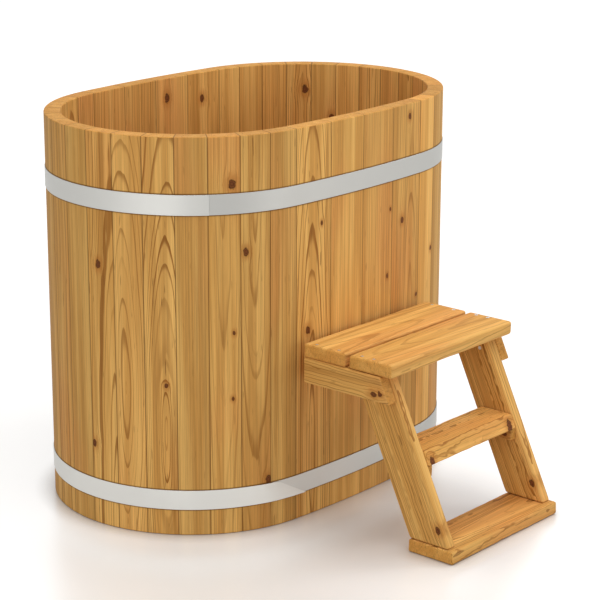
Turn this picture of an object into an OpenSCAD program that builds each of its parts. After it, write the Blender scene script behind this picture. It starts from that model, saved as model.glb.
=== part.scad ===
// Oval wooden tub of upright staves, bound by two flat steel hoops, with wooden steps on one long side.
// Sizes are in millimetres. Z is up and the tub stands on z = 0. The long axis of the oval lies along X,
// and the steps stand on the -Y side. The origin is on the ground, under the middle of the whole object.

/* [Tub] */
// Width of the tub across its long sides, outside
tub_width = 762; // [700:1:860]
// Length of each long side, from where one rounded end stops to where the other starts
side_run = 486; // [400:1:640]
// How far the middle of a long side bows out
side_bow = 10; // [4:1:24]
// Height of the staves
tub_height = 1000; // [850:1:1200]
// Thickness of the staves
stave_t = 42; // [32:1:50]
// Wide staves in each long side
wide_staves = 4; // [2:1:4]
// Narrow staves round each end
narrow_staves = 14; // [8:1:14]
// Gap at each joint between two staves
stave_gap = 0.05; // [0.02:0.01:0.2]
// Bevel on the edges at the rim and the foot
stave_bevel = 2; // [0.5:0.5:5]

/* [Hoops] */
// Height of the steel strip
hoop_w = 50; // [30:1:70]
// Thickness of the steel strip
hoop_t = 1.5; // [1:0.1:3]
// Clearance between a hoop and the staves
hoop_fit = 0.1; // [0.05:0.05:0.3]
// Middle of the lower hoop above the ground
lower_hoop_z = 92; // [60:1:140]
// Middle of the upper hoop below the rim
upper_hoop_drop = 163; // [60:1:300]
// Length of the stretch where the strip lies double, along X
hoop_lap = 60; // [30:1:90]
// Where the upper hoop's outer end stops, towards -X from the middle
upper_lap_at = 456; // [420:1:480]
// Where the middle of the lower hoop's outer end stops, towards -X from the middle
lower_lap_at = 258; // [150:1:300]
// How far the lower hoop's end is cut on the slant
lower_lap_slant = 90; // [0:1:120]

/* [Floor] */
// Underside of the floor above the ground
floor_z = 75; // [62:1:110]
// Thickness of the floor boards
floor_t = 32; // [24:1:40]
// Floor boards, side by side
floor_boards = 5; // [3:2:5]
// Depth of the groove in the staves that holds the floor
croze_depth = 10; // [6:1:14]
// Clearance of the floor in that groove
croze_fit = 0.5; // [0.2:0.1:1]
// Width of the battens under the floor
batten_w = 90; // [60:1:120]
// Thickness of the battens under the floor
batten_t = 35; // [24:1:45]
// Middle of each batten from the nearer end of the tub
batten_inset = 325; // [265:1:425]
// Clearance between a batten's ends and the staves
batten_fit = 3; // [1:1:10]

/* [Drain] */
// Middle of the drain from the middle of the tub, along X
drain_x = 0; // [-80:1:80]
// Diameter of the flange on the floor
drain_flange_d = 78; // [70:1:90]
// Thickness of the flange
drain_flange_t = 4; // [3:0.5:6]
// Diameter over the thread that passes through the floor
drain_thread_d = 47.8; // [44:0.1:52]
// Thread left below the lock nut
drain_thread_end = 3; // [1:0.5:6]
// Outer diameter of the spigot that a waste pipe slips over
drain_spigot_d = 40; // [37:1:42]
// Length of the spigot
drain_spigot_l = 37; // [30:1:46]
// Bore of the drain
drain_bore_d = 34; // [30:1:36]
// Clearance of the drain in the floor, all round
drain_hole_fit = 1; // [0.5:0.5:2]
// Width of the lock nut across its flats
drain_nut_af = 64; // [58:1:75]
// Thickness of the lock nut
drain_nut_t = 10; // [6:1:14]
// Clearance between the lock nut and the thread
drain_nut_fit = 0.1; // [0.05:0.05:0.3]
// Diameter of the guide in the middle of the drain
guide_d = 14; // [13:1:18]
// Length of the guide
guide_length = 22; // [14:1:30]
// Top of the guide below the top of the flange
guide_drop = 6; // [4:1:12]
// Thickness of the four webs that hold the guide
web_t = 3; // [2:0.5:5]
// Height of the webs
web_h = 11; // [6:1:14]
// Diameter of the plug's cap
plug_d = 58; // [48:1:66]
// Thickness of the plug's cap in its middle
plug_t = 7; // [6:1:12]
// Thickness of the cap at its edge
plug_edge_t = 3; // [2:0.5:5]
// Diameter of the flat on top of the cap
plug_flat_d = 20; // [14:1:30]
// Diameter of the neck under the plug's knob
neck_d = 10; // [8:1:12]
// Room under the knob for fingertips
neck_h = 7; // [5:1:12]
// Diameter of the knob that lifts the plug
knob_d = 24; // [18:1:30]
// Height of the knob
knob_h = 9; // [6:1:14]
// Bevel on the plug's edges
plug_bevel = 1; // [0.5:0.1:1.5]
// Diameter of the plug's stem
stem_d = 8; // [6:0.5:10]
// How far the stem reaches below the guide when the drain is shut
stem_tip = 14; // [12:1:18]
// Running clearance of the stem in the guide, all round
stem_fit = 0.06; // [0.04:0.01:0.1]
// Gap under the shut plug's cap
plug_seat_gap = 0.3; // [0.1:0.1:0.5]

/* [Steps] */
// Gap behind the platform, which lets water run down the tub's side
drip_gap = 17; // [6:1:24]
// Length of the platform's boards
platform_length = 496; // [420:1:560]
// Top of the platform above the ground
platform_z = 470; // [380:1:560]
// Width of a platform board
board_w = 132; // [110:1:145]
// Thickness of a platform board
board_t = 35; // [24:1:40]
// Gap between the two platform boards
board_gap = 11; // [4:1:20]
// Thickness of the cleats under the platform's ends
cleat_t = 32; // [26:1:40]
// Height of the cleats
cleat_h = 66; // [50:1:90]
// Thickness of the rail that fixes the platform to the tub
rail_t = 45; // [38:1:55]
// Height of the rail
rail_h = 60; // [40:1:80]
// Clearance between the rail and the tub's side
rail_fit = 0.5; // [0.2:0.1:2]
// Thickness of the legs
leg_t = 32; // [26:1:40]
// Width of the legs, square to their length
leg_w = 105; // [80:1:120]
// How far the legs lean from upright, in degrees
leg_lean = 25.3; // [18:0.1:30]
// Front edge of the base board from the tub's side
steps_reach = 465; // [430:1:520]
// Width of the base board
base_w = 136; // [130:1:160]
// Thickness of the base board
base_t = 32; // [24:1:40]
// How far the base board sticks out in front of the legs
base_lip = 18; // [0:1:24]
// How far the base board sticks out past the legs at its ends
base_end_lip = 6; // [0:1:20]
// Top of the tread above the ground
tread_z = 250; // [200:1:300]
// Thickness of the tread
tread_t = 36; // [28:1:44]
// Depth of the tread, front to back, at its underside
tread_w = 112; // [90:1:130]
// Thickness of the blocks under the tread
block_t = 20; // [16:1:28]
// Height of the blocks under the tread
block_h = 30; // [22:1:40]
// Bevel on the long edges of the boards
board_bevel = 3; // [1:0.5:6]

/* [Screws] */
// Diameter of a screw's shank
screw_d = 5; // [4:0.5:6]
// Diameter of a screw's countersunk head
screw_head_d = 10; // [8:0.5:12]
// How deep a screw bites into a thick piece
screw_bite = 24; // [16:1:25]
// How deep a screw bites into a leg from its side, or into the floor
short_bite = 18; // [12:1:20]
// Distance between the two screws in one end of the rear platform board
rear_screw_gap = 70; // [40:1:90]
// Distance between the two screws in one end of the front platform board
front_screw_gap = 36; // [20:1:50]
// Distance between the two screws in each joint of a leg
leg_screw_gap = 47; // [30:1:60]
// Distance between the two screws in a block under the tread
block_screw_gap = 32; // [20:1:44]
// Clearance of a screw in the wood, all round
screw_fit = 0.1; // [0.05:0.05:0.2]
// How far a head sits under the wood's surface
screw_sink = 0.5; // [0.3:0.1:2]

/* [Hidden] */
$fn = 64;
arc_fn = 360;
spare = 1;

// The oval is four arcs that meet without a kink: two flat ones for the sides and two for the ends.
half_width = tub_width / 2;
half_run = side_run / 2;
side_r = (half_run * half_run + side_bow * side_bow) / (2 * side_bow);
side_angle = asin(half_run / side_r);
end_r = (half_width - side_bow) / cos(side_angle);
side_c = side_r - half_width;
end_c = half_run - end_r * sin(side_angle);

// Each arc holds its centre, its outer radius, its first angle, its sweep and its number of staves.
arcs = [
    [[0, side_c], side_r, -90 - side_angle, 2 * side_angle, wide_staves],
    [[end_c, 0], end_r, -90 + side_angle, 180 - 2 * side_angle, narrow_staves],
    [[0, -side_c], side_r, 90 - side_angle, 2 * side_angle, wide_staves],
    [[-end_c, 0], end_r, 90 + side_angle, 180 - 2 * side_angle, narrow_staves]
];

// Each stave holds its arc's centre and radius, and its own first angle and sweep, with half of the gap
// left at each edge.
function stave_slit(a) = stave_gap / a[1] * 180 / PI;
staves = [
    for (a = arcs) for (i = [0 : a[4] - 1])
        [a[0], a[1], a[2] + i * a[3] / a[4] + stave_slit(a) / 2, a[3] / a[4] - stave_slit(a)]
];

// The middle of the whole object is half of the steps' reach from the middle of the tub.
tub_y = (steps_reach - hoop_fit - hoop_t) / 2;

upper_hoop_z = tub_height - upper_hoop_drop;
floor_top = floor_z + floor_t;
floor_inset = stave_t - croze_depth;
floor_half_width = half_width - floor_inset;
floor_board_w = 2 * floor_half_width / floor_boards;
batten_x = end_c + end_r - batten_inset;
drain_top = floor_top + drain_flange_t;

// Heights and lines of the steps, seen from the side, with y measured from the middle of the tub.
deck_back = -half_width - drip_gap;
rail_front = -half_width - rail_t;
deck_under = platform_z - board_t;
cleat_middle = deck_under - cleat_h / 2;
cleat_x = platform_length / 2;
// The rail is cut from stock that reaches past the curve of the tub's side.
rail_stock_y = -half_width + side_r - sqrt(side_r * side_r - cleat_x * cleat_x);
leg_x = cleat_x - cleat_t;
leg_inside_x = leg_x - leg_t;
leg_run = leg_w / cos(leg_lean);
base_front = -half_width - steps_reach;
tread_under = tread_z - tread_t;
tread_back = leg_front(tread_under) + tread_w;
block_front = leg_front(tread_under) + board_bevel;
block_back = tread_back - board_bevel;
block_middle = (block_front + block_back) / 2;
wood = "burlywood";
shade = "peru";
steel = "silver";

// Front of the legs at height z
function leg_front(z) = base_front + base_lip + (z - base_t) * tan(leg_lean);

// Middle of the legs, front to back, at height z
function leg_middle(z) = leg_front(z) + leg_run / 2;

// Rear edge of a platform board, with the rear board as row 0
function board_back(row) = deck_back - row * (board_w + board_gap);

// Middle of a cleat's stretch under a platform board. The front board juts out over the cleat's top.
function bearing_middle(row) =
    (board_back(row) + max(board_back(row) - board_w, leg_front(deck_under))) / 2;

// Middle of a wide stave in the side that carries the steps
function wide_stave_x(i) = side_r * sin((i - (wide_staves - 1) / 2) * 2 * side_angle / wide_staves);

// A screw is its head's middle, its direction as a rotation of a screw that points down, and its length.
pair = [-0.5, 0.5];
deck_screw_gaps = [rear_screw_gap, front_screw_gap];
deck_screws = [
    for (x = [-1, 1]) for (row = [0, 1]) for (s = pair)
        [[x * (cleat_x - cleat_t / 2), bearing_middle(row) + s * deck_screw_gaps[row], platform_z],
         [0, 0, 0], board_t + screw_bite]
];
leg_screws = [
    for (x = [-1, 1]) for (s = pair)
        [[x * leg_inside_x, leg_middle(cleat_middle) + s * leg_screw_gap, cleat_middle],
         [0, -x * 90, 0], leg_t + screw_bite]
];
rail_screws = [
    for (i = [0 : wide_staves - 1])
        [[wide_stave_x(i), rail_front, deck_under - rail_h / 2], [90, 0, 0], rail_t + screw_bite]
];
base_screws = [
    for (x = [-1, 1]) for (s = pair)
        [[x * (leg_x - leg_t / 2), leg_middle(base_t) + s * leg_screw_gap, 0],
         [180, 0, 0], base_t + screw_bite]
];
block_screws = [
    for (x = [-1, 1]) for (s = pair)
        [[x * (leg_inside_x - block_t), block_middle + s * block_screw_gap, tread_under - block_h / 2],
         [0, -x * 90, 0], block_t + short_bite]
];
tread_screws = [
    for (x = [-1, 1])
        [[x * (leg_inside_x - block_t / 2), block_middle, tread_under - block_h], [180, 0, 0],
         block_h + screw_bite]
];
batten_screws = [
    for (x = [-1, 1]) for (i = [0 : floor_boards - 1])
        [[x * batten_x, (i - (floor_boards - 1) / 2) * floor_board_w, floor_z - batten_t],
         [180, 0, 0], batten_t + short_bite]
];
step_screws = concat(deck_screws, leg_screws, rail_screws, base_screws, block_screws, tread_screws);

stave_names = [for (i = [1 : len(staves)]) str("stave_", i < 10 ? "0" : "", i)];
floor_names = [for (i = [1 : floor_boards]) str("floor_board_", i)];

// Turns a flat profile round one arc; its x = 0 lies on the outer face of the staves.
module sweep_arc(centre, radius, from, sweep) {
    translate([centre.x, centre.y + tub_y, 0])
        rotate([0, 0, from])
            rotate_extrude(angle = sweep, $fn = arc_fn)
                translate([radius, 0])
                    children();
}

// The filled oval of the tub's outside, grown by some distance. The lines that split it run from the
// ends' centres through the points where the arcs meet.
module oval(grow, z, height) {
    reach = end_r + grow + tub_width;
    split = [end_c + reach * sin(side_angle), reach * cos(side_angle)];
    translate([0, tub_y, z])
        for (turn = [0, 180])
            rotate([0, 0, turn]) {
                intersection() {
                    translate([0, side_c, 0])
                        cylinder(r = side_r + grow, h = height, $fn = arc_fn);
                    linear_extrude(height)
                        polygon([[-end_c, 0], [-split.x, -split.y], [split.x, -split.y], [end_c, 0]]);
                }
                translate([end_c, 0, 0])
                    rotate([0, 0, side_angle - 90])
                        rotate_extrude(angle = 180 - 2 * side_angle, $fn = arc_fn)
                            square([end_r + grow, height]);
            }
}

// The tub's side as the rail meets it, with the rail's clearance
module side_face(z, height) {
    translate([0, tub_y + side_c, z])
        cylinder(r = side_r + rail_fit, h = height, $fn = arc_fn);
}

// One screw that points down from z = 0, larger all round by some distance
module screw(length, grow) {
    head = screw_head_d / 2 + grow;
    shank = screw_d / 2 + grow;
    sink = grow > 0 ? 0 : screw_sink;
    rotate_extrude()
        polygon([[0, -sink], [head, -sink], [head, -screw_sink - grow],
                 [shank, -screw_sink - grow - (head - shank)], [shank, -length - grow], [0, -length - grow]]);
}

module screws(list, grow = 0) {
    for (s = list)
        translate(s[0] + [0, tub_y, 0])
            rotate(s[1])
                screw(s[2], grow);
}

// A box along X whose four long edges are bevelled
module board(x, y, z) {
    b = board_bevel;
    translate([x[0], tub_y, 0])
        rotate([90, 0, 90])
            linear_extrude(x[1] - x[0])
                polygon([[y[0] + b, z[0]], [y[1] - b, z[0]], [y[1], z[0] + b], [y[1], z[1] - b],
                         [y[1] - b, z[1]], [y[0] + b, z[1]], [y[0], z[1] - b], [y[0], z[0] + b]]);
}

// A plate of a given outline in y and z, from x[0] to x[1]
module side_plate(x, outline) {
    translate([x[0], tub_y, 0])
        rotate([90, 0, 90])
            linear_extrude(x[1] - x[0])
                polygon(outline);
}

// One stave. Only those in the side that carries the steps are drilled, for the rail's screws.
module stave(s) {
    color(wood)
        difference() {
            sweep_arc(s[0], s[1], s[2], s[3])
                stave_profile();
            if (s[0].y > 0)
                screws(rail_screws, screw_fit);
        }
}

module stave_profile() {
    b = stave_bevel;
    groove_top = floor_top + croze_fit;
    groove_x = -floor_inset + croze_fit;
    polygon([[-b, 0], [0, b], [0, tub_height - b], [-b, tub_height],
             [b - stave_t, tub_height], [-stave_t, tub_height - b],
             [-stave_t, groove_top], [groove_x, groove_top], [groove_x, floor_z], [-stave_t, floor_z],
             [-stave_t, b], [b - stave_t, 0]]);
}

// A steel band all round, with a second layer where its outer end lies over the other
module hoop(z, lap_at, slant) {
    color(steel)
        union() {
            hoop_layer(z, 0);
            intersection() {
                hoop_layer(z, hoop_t);
                lap_outline(z, lap_at, slant);
            }
        }
}

module hoop_layer(z, out) {
    for (a = arcs)
        sweep_arc(a[0], a[1], a[2], a[3])
            translate([hoop_fit + out, z - hoop_w / 2])
                square([hoop_t, hoop_w]);
}

// The stretch of the outer layer, seen from the side of the steps, with its end cut on the slant
module lap_outline(z, lap_at, slant) {
    translate([0, tub_y, z])
        rotate([90, 0, 0])
            linear_extrude(tub_width)
                polygon([[-lap_at - slant / 2 - hoop_lap, -hoop_w], [-lap_at + slant, -hoop_w],
                         [-lap_at - slant, hoop_w], [-lap_at - slant / 2 - hoop_lap, hoop_w]]);
}

module floor_board(i) {
    y = -floor_half_width + (i - 1) * floor_board_w;
    color(shade)
        difference() {
            intersection() {
                oval(-floor_inset, floor_z, floor_t);
                translate([-tub_width, tub_y + y, floor_z])
                    cube([2 * tub_width, floor_board_w, floor_t]);
            }
            translate([drain_x, tub_y, floor_z - spare])
                cylinder(d = drain_thread_d + 2 * drain_hole_fit, h = floor_t + 2 * spare);
            screws(batten_screws, screw_fit);
        }
}

module floor_batten(side) {
    color(shade)
        difference() {
            intersection() {
                oval(-stave_t - batten_fit, floor_z - batten_t, batten_t);
                translate([side * batten_x - batten_w / 2, tub_y - half_width, floor_z - batten_t])
                    cube([batten_w, tub_width, batten_t]);
            }
            screws(batten_screws, screw_fit);
        }
}

// Flange on the floor, thread through it, spigot below, and a guide on four webs for the plug's stem
module drain_body() {
    thread_end = floor_z - drain_nut_t - drain_thread_end;
    spigot_end = thread_end - drain_spigot_l;
    guide_top = drain_top - guide_drop;
    guide_end = guide_top - guide_length;
    web_span = (drain_bore_d + drain_thread_d) / 2;
    color(steel)
        translate([drain_x, tub_y, 0])
            difference() {
                union() {
                    difference() {
                        union() {
                            translate([0, 0, floor_top])
                                cylinder(d = drain_flange_d, h = drain_flange_t);
                            translate([0, 0, thread_end])
                                cylinder(d = drain_thread_d, h = drain_top - thread_end);
                            translate([0, 0, spigot_end])
                                cylinder(d = drain_spigot_d, h = drain_top - spigot_end);
                        }
                        translate([0, 0, spigot_end - spare])
                            cylinder(d = drain_bore_d, h = drain_top - spigot_end + 2 * spare);
                    }
                    translate([0, 0, guide_end])
                        cylinder(d = guide_d, h = guide_length);
                    for (turn = [0, 90])
                        rotate([0, 0, turn])
                            translate([-web_span / 2, -web_t / 2, guide_end])
                                cube([web_span, web_t, web_h]);
                }
                translate([0, 0, guide_end - spare])
                    cylinder(r = stem_d / 2 + stem_fit, h = guide_length + 2 * spare);
            }
}

module drain_nut() {
    color(steel)
        translate([drain_x, tub_y, floor_z - drain_nut_t])
            difference() {
                cylinder(d = drain_nut_af / cos(30), h = drain_nut_t, $fn = 6);
                translate([0, 0, -spare])
                    cylinder(r = drain_thread_d / 2 + drain_nut_fit, h = drain_nut_t + 2 * spare);
            }
}

// A cap that lies over the drain, with a knob to lift it by and a stem that slides in the guide
module drain_plug() {
    b = plug_bevel;
    cap_z = drain_top + plug_seat_gap;
    cap_top = cap_z + plug_t;
    knob_z = cap_top + neck_h;
    knob_top = knob_z + knob_h;
    stem_end = drain_top - guide_drop - guide_length - stem_tip;
    color(steel)
        translate([drain_x, tub_y, 0])
            rotate_extrude()
                polygon([[0, stem_end], [stem_d / 2 - b, stem_end], [stem_d / 2, stem_end + b],
                         [stem_d / 2, cap_z], [plug_d / 2 - b, cap_z], [plug_d / 2, cap_z + b],
                         [plug_d / 2, cap_z + plug_edge_t], [plug_flat_d / 2, cap_top],
                         [neck_d / 2, cap_top], [neck_d / 2, knob_z], [knob_d / 2 - b, knob_z],
                         [knob_d / 2, knob_z + b], [knob_d / 2, knob_top - b], [knob_d / 2 - b, knob_top],
                         [0, knob_top]]);
}

module platform_board(row) {
    back = board_back(row);
    color(wood)
        difference() {
            board([-cleat_x, cleat_x], [back - board_w, back], [deck_under, platform_z]);
            screws(deck_screws, screw_fit);
        }
}

module platform_cleat(side) {
    low = deck_under - cleat_h;
    color(wood)
        difference() {
            side_plate(side > 0 ? [leg_x, cleat_x] : [-cleat_x, -leg_x],
                [[leg_front(low), low], [deck_back, low], [deck_back, deck_under],
                 [leg_front(deck_under), deck_under]]);
            screws(concat(deck_screws, leg_screws), screw_fit);
        }
}

module platform_rail() {
    low = deck_under - rail_h;
    color(shade)
        difference() {
            side_plate([-leg_x, leg_x],
                [[rail_front, low], [rail_stock_y, low], [rail_stock_y, deck_under],
                 [rail_front, deck_under]]);
            side_face(low - spare, rail_h + 2 * spare);
            screws(rail_screws, screw_fit);
        }
}

module leg(side) {
    color(wood)
        difference() {
            side_plate(side > 0 ? [leg_inside_x, leg_x] : [-leg_x, -leg_inside_x],
                [[leg_front(base_t), base_t], [leg_front(base_t) + leg_run, base_t],
                 [leg_front(deck_under) + leg_run, deck_under], [leg_front(deck_under), deck_under]]);
            screws(concat(leg_screws, base_screws, block_screws), screw_fit);
        }
}

module tread() {
    b = board_bevel;
    color(wood)
        difference() {
            side_plate([-leg_inside_x, leg_inside_x],
                [[leg_front(tread_under), tread_under], [tread_back - b, tread_under],
                 [tread_back, tread_under + b], [tread_back, tread_z - b], [tread_back - b, tread_z],
                 [leg_front(tread_z), tread_z]]);
            screws(tread_screws, screw_fit);
        }
}

module tread_block(side) {
    block_x = leg_inside_x - block_t;
    color(wood)
        difference() {
            side_plate(side > 0 ? [block_x, leg_inside_x] : [-leg_inside_x, -block_x],
                [[block_front, tread_under - block_h], [block_back, tread_under - block_h],
                 [block_back, tread_under], [block_front, tread_under]]);
            screws(concat(block_screws, tread_screws), screw_fit);
        }
}

module base_board() {
    end_x = leg_x + base_end_lip;
    color(wood)
        difference() {
            board([-end_x, end_x], [base_front, base_front + base_w], [0, base_t]);
            screws(base_screws, screw_fit);
        }
}

module wood_screws() {
    color(steel)
        screws(concat(step_screws, batten_screws));
}

for (i = [1 : len(staves)])
    stave(staves[i - 1]);
hoop(lower_hoop_z, lower_lap_at, lower_lap_slant);  // hoop_lower
hoop(upper_hoop_z, upper_lap_at, 0);  // hoop_upper
for (i = [1 : floor_boards])
    floor_board(i);
floor_batten(-1);  // floor_batten_left
floor_batten(1);  // floor_batten_right
drain_body();
drain_nut();
drain_plug();
platform_board(0);  // platform_board_rear
platform_board(1);  // platform_board_front
platform_cleat(-1);  // platform_cleat_left
platform_cleat(1);  // platform_cleat_right
platform_rail();
leg(-1);  // leg_left
leg(1);  // leg_right
tread();
tread_block(-1);  // tread_block_left
tread_block(1);  // tread_block_right
base_board();
wood_screws();
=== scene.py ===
import math
import random
from functools import partial

import bmesh
import bpy
import numpy as np
from mathutils import Euler, Matrix, Vector, noise


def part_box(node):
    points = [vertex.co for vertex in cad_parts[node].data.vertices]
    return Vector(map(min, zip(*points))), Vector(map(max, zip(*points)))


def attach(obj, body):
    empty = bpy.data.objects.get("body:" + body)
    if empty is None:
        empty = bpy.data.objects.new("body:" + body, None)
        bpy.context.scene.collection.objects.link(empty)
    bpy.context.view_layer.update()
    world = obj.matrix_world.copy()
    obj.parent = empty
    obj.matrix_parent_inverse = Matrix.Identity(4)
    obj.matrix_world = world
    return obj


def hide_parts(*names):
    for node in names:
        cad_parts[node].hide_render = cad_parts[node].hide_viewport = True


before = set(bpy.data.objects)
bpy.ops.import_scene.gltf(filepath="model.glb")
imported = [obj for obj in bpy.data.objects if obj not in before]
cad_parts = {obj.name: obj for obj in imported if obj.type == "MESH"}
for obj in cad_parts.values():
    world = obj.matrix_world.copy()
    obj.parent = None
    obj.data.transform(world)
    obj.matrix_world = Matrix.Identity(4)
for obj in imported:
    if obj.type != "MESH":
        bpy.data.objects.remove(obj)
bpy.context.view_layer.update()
print("frame loaded:", len(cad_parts), "nodes")

scene = bpy.context.scene


# Turns an sRGB hex value to linear, darkened to a share of itself
def linearColour(code, share=1.0):
    channels = [int(code[i:i + 2], 16) / 255 for i in (1, 3, 5)]
    linear = [c / 12.92 if c <= 0.04045 else ((c + 0.055) / 1.055) ** 2.4 for c in channels]
    return [c * share for c in linear] + [1.0]


nodeMenus = ("operation", "interpolation_type", "noise_dimensions", "data_type", "mode")


# A list fills the sockets that show, in order, and a dictionary fills them by name. A node given as a value
# stands for the first of its outputs that shows. The choice is set on the first menu that the node has.
def addNode(tree, kind, inputs=(), choice=None, **settings):
    prefixes = (tree.type.title() + "Node", "ShaderNode", "FunctionNode", "")
    node = tree.nodes.new(next(p + kind for p in prefixes if hasattr(bpy.types, p + kind)))
    if choice:
        settings[next(menu for menu in nodeMenus if hasattr(node, menu))] = choice
    for name, value in settings.items():
        setattr(node, name, value)
    if isinstance(inputs, dict):
        inputs = [(node.inputs[key], value) for key, value in inputs.items()]
    else:
        inputs = zip([socket for socket in node.inputs if socket.enabled], inputs)
    for socket, value in inputs:
        if isinstance(value, bpy.types.Node):
            value = next(output for output in value.outputs if output.enabled)
        if isinstance(value, bpy.types.NodeSocket):
            tree.links.new(value, socket)
        else:
            socket.default_value = value
    return node


# Makes a node group, and gives addNode for it and what its input node hands on
def newTree(kind, name, inputs, outputs):
    tree = bpy.data.node_groups.new(name, kind + "NodeTree")
    for side, sockets in (("INPUT", inputs), ("OUTPUT", outputs)):
        for label, socket in sockets.items():
            tree.interface.new_socket(name=label, in_out=side, socket_type="NodeSocket" + socket)
    add = partial(addNode, tree)
    return add, add("NodeGroupInput").outputs


def endTree(add, shape, material):
    real = add("RealizeInstances", [shape])
    painted = add("SetMaterial", {"Geometry": real, "Material": material})
    return add("NodeGroupOutput", [painted]).id_data


# Clears the nodes of a material or world, and gives addNode for them
def emptyNodes(owner):
    owner.use_nodes = True
    owner.node_tree.nodes.clear()
    return partial(addNode, owner.node_tree)


def newMesh(name, points, edges=(), faces=()):
    mesh = bpy.data.meshes.new(name)
    mesh.from_pydata(points, edges, faces)
    return mesh


# Writes a named value on each point of a mesh, or on each face
def markMesh(mesh, name, values, kind="FLOAT", domain="POINT"):
    key = "vector" if kind == "FLOAT_VECTOR" else "value"
    mesh.attributes.new(name, kind, domain).data.foreach_set(key, np.ravel(values).tolist())


# A closed shape through rows of points, with a face at each end
def loft(rows):
    shape = bmesh.new()
    rows = [[shape.verts.new(point) for point in row] for row in rows]
    for a, b in zip(rows, rows[1:]):
        for i in range(len(a)):
            j = (i + 1) % len(a)
            shape.faces.new((a[i], a[j], b[j], b[i]))
    ends = [shape.faces.new(rows[0][::-1]), shape.faces.new(rows[-1])]
    bmesh.ops.recalc_face_normals(shape, faces=shape.faces)
    return shape, ends


def roundEdges(shape, edges, offset, segments):
    bmesh.ops.bevel(shape, geom=edges, offset=offset, segments=segments, profile=0.5, affect="EDGES")


def shapeToMesh(shape, name):
    mesh = bpy.data.meshes.new(name)
    shape.to_mesh(mesh)
    shape.free()
    return mesh


def newPiece(name, mesh):
    piece = bpy.data.objects.new(name, mesh)
    scene.collection.objects.link(piece)
    return piece


# Turns what the modifiers make into the piece's own plain mesh
def settle(piece):
    graph = bpy.context.evaluated_depsgraph_get()
    mesh = bpy.data.meshes.new_from_object(
        piece.evaluated_get(graph), preserve_all_data_layers=True, depsgraph=graph)
    piece.modifiers.clear()
    piece.data = mesh
    mesh.name = piece.name
    return piece


# Flat faces stay flat and rounded edges stay round
def evenNormals(piece, sharpAngle=38):
    piece.data.shade_smooth()
    piece.data.set_sharp_from_angle(angle=math.radians(sharpAngle))
    piece.modifiers.new("even normals", "WEIGHTED_NORMAL").keep_sharp = True
    return settle(piece)


def growWith(piece, tree, values):
    modifier = piece.modifiers.new(tree.name, "NODES")
    modifier.node_group = tree
    for item in tree.interface.items_tree:
        if item.in_out == "INPUT" and item.name in values:
            modifier[item.identifier] = values[item.name]
    return settle(piece)


# The tub's plan is four arcs, from the same sizes as the solids
tub = {
    "width": 0.762,
    "sideRun": 0.486,
    "sideBow": 0.01,
    "height": 1.0,
    "wall": 0.042,
    "middle": (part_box("drain_nut")[0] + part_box("drain_nut")[1]) / 2,
}
halfWidth = tub["width"] / 2
halfRun = tub["sideRun"] / 2
sideRadius = (halfRun ** 2 + tub["sideBow"] ** 2) / (2 * tub["sideBow"])
sideAngle = math.asin(halfRun / sideRadius)
endRadius = (halfWidth - tub["sideBow"]) / math.cos(sideAngle)
sideCentre = sideRadius - halfWidth
endCentre = halfRun - endRadius * math.sin(sideAngle)
tubY = tub["middle"].y

quarter = math.pi / 2
arcs = [
    ((0, sideCentre), sideRadius, -quarter - sideAngle, 2 * sideAngle),
    ((endCentre, 0), endRadius, -quarter + sideAngle, math.pi - 2 * sideAngle),
    ((0, -sideCentre), sideRadius, quarter - sideAngle, 2 * sideAngle),
    ((-endCentre, 0), endRadius, quarter + sideAngle, math.pi - 2 * sideAngle),
]
girth = sum(radius * sweep for centre, radius, first, sweep in arcs)


# A point of the oval, at a distance round it from the left end of the near side
def ovalPoint(distance, out):
    distance %= girth
    for centre, radius, first, sweep in arcs:
        if distance <= radius * sweep:
            break
        distance -= radius * sweep
    angle = first + distance / radius
    reach = radius + out
    return Vector((centre[0] + reach * math.cos(angle), tubY + centre[1] + reach * math.sin(angle), 0))


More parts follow.
